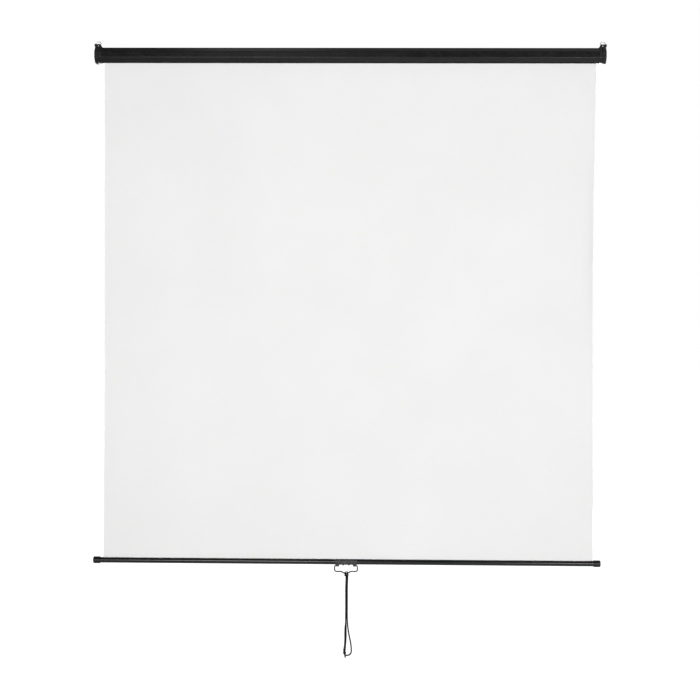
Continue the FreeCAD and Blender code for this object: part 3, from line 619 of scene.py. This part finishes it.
def strand(name, route):
    """One length of braid along a route, with the points and the length of its line."""
    holder = smooth_line(name, hang(route))
    bare_line = final_mesh(holder)
    points = [v.co.copy() for v in bare_line.vertices]
    bpy.data.meshes.remove(bare_line)
    length = sum((b - a).length for a, b in zip(points, points[1:]))
    piece = grow(holder, braid, Finish=cord_black)
    print(name, "is", round(length / MM, 1), "mm long with", outwards(piece), "faces")
    return piece, points, length


left_strand, left_points, left_length = strand("left_cord_strand", LEFT_ROUTE)
right_strand, right_points, right_length = strand("right_cord_strand", RIGHT_ROUTE)
tail, tail_points, tail_length = strand("twisted_cord_tail", TAIL_ROUTE)

# %% [markdown]
# ## The hitch on the V
# The cord is looped over the wire as a lark's head: it climbs behind the wire, folds over the
# top, comes down in front and crosses as a band over its own two strands. One spline with
# mirrored halves makes it, and the braid tree grows on it as on the strands. On the object it
# has slid a little up the right leg of the V, so it leans.

# %% Tie the hitch
HALF_HITCH = [
    (-2.15, 0.8, 11.5), (-2.2, 2.9, 8.0), (-2.6, 6.0, 3.9), (-2.8, 6.2, -1.9), (-2.9, 2.5, -5.1),
    (-3.0, -2.6, -5.1), (-3.2, -6.7, -2.0), (-3.6, -7.3, 1.2), (-5.3, -7.2, 3.8), (-3.4, -6.2, 5.4),
]
BAND_MIDDLE = (0.0, -5.8, 5.9)
LEAN = math.radians(10)
SIDE = 1.4
LIFT = 0.55


def leaning(x, y, drop):
    """A point of the hitch once it has slid up the right leg of the V."""
    across = SIDE + x * math.cos(LEAN) + drop * math.sin(LEAN)
    return across, y, drop * math.cos(LEAN) - x * math.sin(LEAN) - LIFT


band = HALF_HITCH + [BAND_MIDDLE] + [(-x, y, drop) for x, y, drop in reversed(HALF_HITCH)]
band = [leaning(*point) for point in band]
hitch = grow(smooth_line("lark_head_hitch", hang(band)), braid, Finish=cord_black)
print("hitch has", outwards(hitch), "faces")

# %% [markdown]
# ## The end knot
# Where the strands meet they are tied in an overhand knot, which is a trefoil pulled
# tight. A closed trefoil reads the same from outside, and a short stub below it is the cut end.

# %% Tie the end knot
KNOT = (-3.3, 0.0, 251.8)
LOBE = 1.15
KNOT_DEPTH = 1.5
KNOT_POINTS = 24
STUB = [(-3.3, 0.8, 251.8), (-2.7, 2.2, 256.3), (-1.8, 2.5, 261.8), (-0.9, 1.8, 266.4)]


def trefoil(count):
    """Points of a snug trefoil round the knot's middle."""
    points = []
    for i in range(count):
        a = FULL_TURN * i / count
        x = LOBE * (math.sin(a) + 2 * math.sin(2 * a))
        drop = LOBE * (2 * math.cos(2 * a) - math.cos(a))
        points.append((KNOT[0] + x, KNOT[1] - KNOT_DEPTH * math.sin(3 * a), KNOT[2] + drop))
    return points


knot = grow(smooth_line("overhand_knot", hang(trefoil(KNOT_POINTS)), closed=True), braid, Finish=cord_black)
stub = grow(smooth_line("cut_cord_end", hang(STUB)), braid, Finish=cord_black)
print("knot has", outwards(knot), "faces and the cut end", outwards(stub))

# %% [markdown]
# ## Hanging the cord
# The pieces take the place of the plain solids.

# %% Hang the cord on its body
for piece in (left_strand, right_strand, tail, hitch, knot, stub):
    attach(piece, "pull_cord")
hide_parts("cord_left_strand")
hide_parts("cord_right_strand")
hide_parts("cord_hitch")
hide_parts("cord_end_knot")
print("cord in all:", round(left_length + right_length + tail_length, 3), "m below the hitch")

# %% [markdown]
# ## The hang of the cloth
# The picture area is a coated cloth with a fine even skin. Held along its top by the
# roller and along its foot by the bar, it is flat there; half-way down, its sides are free,
# so they draw in a few millimetres, and the right one curls back. A simulation
# would find the same curve, but two short formulas place it exactly where the picture has it.
# The last stretch above the bar stays flat, so that the sheet still fits the bar's slot when
# it is wound up. A side that doesn't curl keeps a trace of turn, or its radius would be endless.

# %% Write the cloth's form
cloth_low, cloth_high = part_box("screen_cloth")
HALF_WIDTH = cloth_high.x
CLOTH_T = cloth_high.y - cloth_low.y
CLOTH_Y = (cloth_high.y + cloth_low.y) / 2
DROP = cloth_high.z - cloth_low.z
CURL = 42 * MM
FREE_DEPTH = 0.86
LEAST_TURN = 1e-4
RIGHT_SIDE = dict(turn=0.38, draw=4.3 * MM, bias=1.0)
LEFT_SIDE = dict(turn=0.0, draw=2.55 * MM, bias=1.5)
CURL_SKEW = 0.85
BROAD_HEIGHT, BROAD_PACE, BROAD_PHASE = 0.35 * MM, 5.2, 0.7
NARROW_HEIGHT, NARROW_PACE, NARROW_PHASE, NARROW_SLANT = 0.2 * MM, 11.0, -2.1, 1.8


def side_shape(reach, depth, turn, draw, bias):
    """Where a point goes whose distance from one side is given: sideways shift and backward curl."""
    swell = math.sin(math.pi * depth**bias)
    angle = max(turn * math.sin(math.pi * min(depth / FREE_DEPTH, 1.0) ** CURL_SKEW) ** 3, LEAST_TURN)
    radius = CURL / angle
    past = max(CURL - reach, 0.0)
    sideways = past - radius * math.sin(past / radius)
    backward = radius * (1 - math.cos(past / radius))
    pulled = draw * swell * max(1 - reach / HALF_WIDTH, 0.0)
    return sideways + pulled, backward


def cloth_point(x, depth):
    """A point of the hanging cloth; depth runs from 0 at the roller to 1 at the bar."""
    right_in, right_back = side_shape(HALF_WIDTH - x, depth, **RIGHT_SIDE)
    left_in, left_back = side_shape(HALF_WIDTH + x, depth, **LEFT_SIDE)
    free = math.sin(math.pi * min(depth / FREE_DEPTH, 1.0)) ** 4
    wave = BROAD_HEIGHT * math.sin(BROAD_PACE * x + BROAD_PHASE)
    wave += NARROW_HEIGHT * math.sin(NARROW_PACE * x + NARROW_PHASE + NARROW_SLANT * depth)
    y = CLOTH_Y + right_back + left_back + wave * free
    return x - right_in + left_in, y, cloth_high.z - DROP * depth


print("right edge half-way down:", [round(v, 4) for v in cloth_point(HALF_WIDTH, 0.5)])

# %% [markdown]
# ## Cutting the cloth
# The sheet is a grid, with more columns near its sides where it curls, and it is thickened to
# its real gauge. Its UV map is measured in metres, so that a thread can have its true size.
# The cut edges are marked sharp, or smooth shading would darken them.

# %% Cut the cloth
FREE_ROWS = 110
EDGE_COLUMNS = 12
INNER_COLUMNS = 72
CUT_ANGLE = math.radians(40)
DEPTHS = [FREE_DEPTH * i / FREE_ROWS for i in range(FREE_ROWS + 1)] + [1.0]
edge_steps = [CURL * i / EDGE_COLUMNS for i in range(EDGE_COLUMNS)]
inner = HALF_WIDTH - CURL
columns = [-HALF_WIDTH + s for s in edge_steps]
columns += [-inner + 2 * inner * i / INNER_COLUMNS for i in range(INNER_COLUMNS + 1)]
columns += [HALF_WIDTH - s for s in reversed(edge_steps)]


def sheet_mesh(name, columns, depths, where):
    """A grid of quads with a UV map measured in metres."""
    mesh = bpy.data.meshes.new(name)
    wide = len(columns)
    points = [where(x, depth) for depth in depths for x in columns]
    faces = []
    for r in range(len(depths) - 1):
        for c in range(wide - 1):
            a = r * wide + c
            faces.append((a + wide, a + wide + 1, a + 1, a))
    mesh.from_pydata(points, [], faces)
    flat = mesh.uv_layers.new(name="cloth")
    for corner in mesh.loops:
        r, c = divmod(corner.vertex_index, wide)
        flat.data[corner.index].uv = (columns[c], -DROP * depths[r])
    return mesh


sheet = bpy.data.objects.new("hanging_cloth", sheet_mesh("hanging_cloth", columns, DEPTHS, cloth_point))
scene.collection.objects.link(sheet)
gauge = sheet.modifiers.new("gauge", "SOLIDIFY")
gauge.thickness = CLOTH_T
gauge.offset = 0.0
cloth = plain(sheet, every_layer=True)
cloth.data.shade_smooth()
cloth.data.set_sharp_from_angle(angle=CUT_ANGLE)
print("cloth is", round(2 * HALF_WIDTH, 3), "by", round(DROP, 3), "m, faces:", len(cloth.data.polygons))

# %% [markdown]
# ## Its matt skin
# A projection surface scatters light evenly: very rough, almost no gloss, and a weave so
# fine that it only shows close up. Two crossed waves on the sheet's own UV map make the
# threads, and broad noise gives the slight unevenness of a coated roll.

# %% Finish the cloth
THREADS = 620.0
matt_white, tree, shader = new_finish("matt_white_cloth", Specular_IOR_Level=0.2)
on_sheet = place(tree, "ShaderNodeTexCoord").outputs["UV"]
tint(tree, shader, spots(tree, 3.0, detail=6.0), (0.845, 0.845, 0.842), (0.868, 0.868, 0.866))
dull(tree, shader, spots(tree, 30.0), 0.86, 0.96)
weave = []
for axis in ("X", "Y"):
    threads = place(
        tree, "ShaderNodeTexWave", {"bands_direction": axis}, Vector=on_sheet, Scale=THREADS, Distortion=0.6,
        Detail=1.0,
    )
    weave.append(threads.outputs["Fac"])
relief(tree, shader, number(tree, "MAXIMUM", *weave), strength=0.12, depth=0.06 * MM)
cloth.data.materials.append(matt_white)
print("cloth finish:", matt_white.name)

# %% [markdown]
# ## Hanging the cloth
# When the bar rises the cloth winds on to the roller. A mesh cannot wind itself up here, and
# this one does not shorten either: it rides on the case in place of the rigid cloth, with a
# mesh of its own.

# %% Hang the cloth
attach(cloth, "case")
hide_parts("screen_cloth")
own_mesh(cloth)

# %% [markdown]
# ## Turns left on the roller
# With the screen down, the last turns stay on the tube. Wound cloth follows a rule, a
# spiral that grows by the same step each turn, so a node tree makes it: a spiral curve, a
# thin rectangle swept along it, and a turn that lays it along the roller with its outer end
# in front, where the hanging part leaves.

# %% Build the leader tree
tube_low, tube_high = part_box("roller_tube")
ROLLER = (tube_low + tube_high) / 2
TUBE_R = (tube_high.z - tube_low.z) / 2
TURNS = 1.75
STEPS_A_TURN = 72
AIR = 0.02 * MM
ON_ITS_SIDE = Matrix(((0, 0, -1), (1, 0, 0), (0, -1, 0))).to_euler()
outer_r = ROLLER.y - CLOTH_Y
inner_r = TUBE_R + CLOTH_T / 2 + AIR
leader, given = new_tree(
    "wound_leader",
    Turns=("Float", TURNS),
    Inner_radius=("Float", inner_r),
    Outer_radius=("Float", outer_r),
    Width=("Float", 2 * HALF_WIDTH),
    Gauge=("Float", CLOTH_T),
    Finish=("Material", None),
)
coil = place(
    leader, "GeometryNodeCurveSpiral", Resolution=STEPS_A_TURN, Rotations=given["Turns"],
    Start_Radius=given["Inner radius"], End_Radius=given["Outer radius"], Height=0.0,
)
section = place(
    leader, "GeometryNodeCurvePrimitiveQuadrilateral", Width=given["Gauge"], Height=given["Width"],
)
wound = place(
    leader, "GeometryNodeCurveToMesh", Curve=coil.outputs[0], Profile_Curve=section.outputs[0],
    Fill_Caps=True,
)
laid = place(
    leader, "GeometryNodeTransform", Geometry=wound.outputs[0], Translation=ROLLER, Rotation=ON_ITS_SIDE,
)
close_tree(leader, laid.outputs[0], given["Finish"])

# %% [markdown]
# ## Winding the leader
# The tree needs no shape to start from, so an empty mesh carries it. The turns ride on the
# roller, and their length unrolled is the mean round of the spiral times its turns.

# %% Wind the leader
start = bpy.data.objects.new("wound_cloth_turns", bpy.data.meshes.new("wound_cloth_turns"))
scene.collection.objects.link(start)
turns = grow(start, leader, Finish=matt_white)
wound_length = TURNS * math.pi * (inner_r + outer_r)
print("leader:", round(wound_length, 4), "m of cloth in", TURNS, "turns,", outwards(turns), "faces")
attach(turns, "roller")
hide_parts("wound_cloth")

# %% [markdown]
# ## Screws
# Six small screws hold the caps and the saddle. They repeat, so one tree builds the head
# once, domes it, cuts its cross with a boolean, and sets a copy on every point, turned to
# the direction stored on that point.

# %% Build the head of a screw
HEAD_R = 2.6 * MM
HEAD_SIDES, HEAD_RINGS, SHANK_SIDES = 32, 6, 20
DOME_POWER, DOME_FALL = 3.0, 0.55
ARM_LENGTH, ARM_WIDTH = 1.15, 0.3
screw_tree, given = new_tree(
    "crosshead_screws",
    Head_radius=("Float", HEAD_R),
    Head_height=("Float", 1.6 * MM),
    Shank_radius=("Float", 1.3 * MM),
    Shank_length=("Float", 6.0 * MM),
    Finish=("Material", None),
)
head_r, head_height, shank_length = given["Head radius"], given["Head height"], given["Shank length"]
disc = place(
    screw_tree, "GeometryNodeMeshCylinder", Vertices=HEAD_SIDES, Side_Segments=1, Fill_Segments=HEAD_RINGS,
    Radius=head_r, Depth=head_height,
)
spot = place(screw_tree, "GeometryNodeInputPosition").outputs[0]
flat_spot = place(screw_tree, "ShaderNodeVectorMath", {"operation": "MULTIPLY"}, i0=spot, i1=(1.0, 1.0, 0.0))
radial = place(screw_tree, "ShaderNodeVectorMath", {"operation": "LENGTH"}, i0=flat_spot.outputs[0])
outness = number(screw_tree, "DIVIDE", radial.outputs["Value"], head_r)
fall = number(screw_tree, "MULTIPLY", number(screw_tree, "POWER", outness, DOME_POWER), DOME_FALL)
crown = number(screw_tree, "MULTIPLY", head_height, number(screw_tree, "SUBTRACT", 1.0, fall))
spot_height = place(screw_tree, "ShaderNodeSeparateXYZ", Vector=spot).outputs["Z"]
on_top = number(screw_tree, "GREATER_THAN", spot_height, 0.0)
height = place(screw_tree, "ShaderNodeCombineXYZ", Z=number(screw_tree, "MULTIPLY", crown, on_top))
domed_spot = place(screw_tree, "ShaderNodeVectorMath", i0=flat_spot.outputs[0], i1=height.outputs[0])
domed = place(
    screw_tree, "GeometryNodeSetPosition", Geometry=disc.outputs["Mesh"], Position=domed_spot.outputs[0],
)
raise_arm = place(screw_tree, "ShaderNodeCombineXYZ", Z=head_height)
head = place(screw_tree, "GeometryNodeMeshBoolean", {"operation": "DIFFERENCE"}, Mesh_1=domed.outputs[0])
for long_x, long_y in ((ARM_LENGTH, ARM_WIDTH), (ARM_WIDTH, ARM_LENGTH)):
    size = place(
        screw_tree, "ShaderNodeCombineXYZ", X=number(screw_tree, "MULTIPLY", head_r, long_x),
        Y=number(screw_tree, "MULTIPLY", head_r, long_y), Z=head_height,
    )
    arm = place(screw_tree, "GeometryNodeMeshCube", Size=size.outputs[0]).outputs["Mesh"]
    raised = place(screw_tree, "GeometryNodeTransform", Geometry=arm, Translation=raise_arm.outputs[0])
    screw_tree.links.new(raised.outputs[0], head.inputs["Mesh 2"])
print("screw head has", len(screw_tree.nodes), "nodes so far")

# %% [markdown]
# ## Shank and copies
# The shank hangs below the head. Both are joined, and Instance on Points sets the whole
# screw on each seat, with its axis along the seat's own direction.

# %% Build the rest of the screw
shank = place(
    screw_tree, "GeometryNodeMeshCylinder", Vertices=SHANK_SIDES, Radius=given["Shank radius"],
    Depth=shank_length,
)
sunk = place(screw_tree, "ShaderNodeCombineXYZ", Z=number(screw_tree, "MULTIPLY", shank_length, -0.5))
lowered = place(
    screw_tree, "GeometryNodeTransform", Geometry=shank.outputs["Mesh"], Translation=sunk.outputs[0],
)
whole = screw_tree.nodes.new("GeometryNodeJoinGeometry")
screw_tree.links.new(head.outputs["Mesh"], whole.inputs[0])
screw_tree.links.new(lowered.outputs[0], whole.inputs[0])
facing = place(
    screw_tree, "GeometryNodeInputNamedAttribute", {"data_type": "FLOAT_VECTOR"}, Name="outwards",
).outputs["Attribute"]
aim = place(screw_tree, "FunctionNodeAlignRotationToVector", {"axis": "Z"}, Vector=facing)
copies = place(
    screw_tree, "GeometryNodeInstanceOnPoints", Points=given["Geometry"], Instance=whole.outputs[0],
    Rotation=aim.outputs[0],
)
close_tree(screw_tree, copies.outputs[0], given["Finish"])

# %% [markdown]
# ## Setting the screws
# Zinc-plated screws sit on the rear slopes of the caps, out of sight from the front; two
# blackened ones go up through the saddle. Each set is one piece on its own body.

# %% Drive the screws
SEAT_OUT = 24.3 * MM
SADDLE_HEAD = 1.9 * MM
blackened = grained(
    "blackened_steel", (0.05, 0.05, 0.052), (0.085, 0.085, 0.09), rough=(0.3, 0.45), grain=1800.0,
    depth=0.03 * MM, Metallic=1.0,
)
plated = grained(
    "plated_steel", (0.48, 0.48, 0.47), (0.6, 0.6, 0.58), rough=(0.28, 0.42), grain=1800.0,
    depth=0.03 * MM, Metallic=1.0,
)


def drive(name, seats, finish, body, node, finish_slot, **sizes):
    """Set screws on seats, each given as a place and the direction its head faces."""
    mesh = bpy.data.meshes.new(name)
    mesh.from_pydata([seat for seat, _ in seats], [], [])
    facing = mesh.attributes.new("outwards", "FLOAT_VECTOR", "POINT")
    for slot, (_, direction) in zip(facing.data, seats):
        slot.vector = direction
    holder = bpy.data.objects.new(name, mesh)
    scene.collection.objects.link(holder)
    piece = grow(holder, screw_tree, Finish=finish, **sizes)
    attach(piece, body)
    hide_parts(node)
    print(name, "has", len(piece.data.polygons), "faces")


screw_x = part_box("end_cap_screws")[1].x - HEAD_R
slope = math.sqrt(0.5)
out = SEAT_OUT * slope
cap_seats = []
for x in (-screw_x, screw_x):
    for rise in (1, -1):
        cap_seats.append(((x, out, ROLLER.z + rise * out), (0, slope, rise * slope)))
drive("end_cap_screw_set", cap_seats, plated, "case", "end_cap_screws", "screw")
saddle_low, saddle_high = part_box("saddle_screws")
saddle_seat = saddle_low.z + SADDLE_HEAD
saddle_ends = (saddle_low.x + HEAD_R, saddle_high.x - HEAD_R)
saddle_seats = [((x, V_FOOT.y, saddle_seat), (0, 0, -1)) for x in saddle_ends]
drive(
    "saddle_screw_set", saddle_seats, blackened, "bar", "saddle_screws", "saddle_screw",
    Head_height=SADDLE_HEAD, Shank_radius=1.2 * MM, Shank_length=5.0 * MM,
)

# %% [markdown]
# ## Holding the dressed model against the rigid one
# Cloth may stand a little proud of the rigid box, but the object may not grow. The box is
# taken again, and how far the dressed model reaches past the rigid one on each side is
# printed, in millimetres.

# %% Compare the boxes and finish
bpy.context.view_layer.update()
low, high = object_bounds()
below = [round((b - a) / MM, 2) for a, b in zip(low, cad_low)]
above = [round((b - a) / MM, 2) for a, b in zip(cad_high, high)]
print("grown by", below, above, "mm")
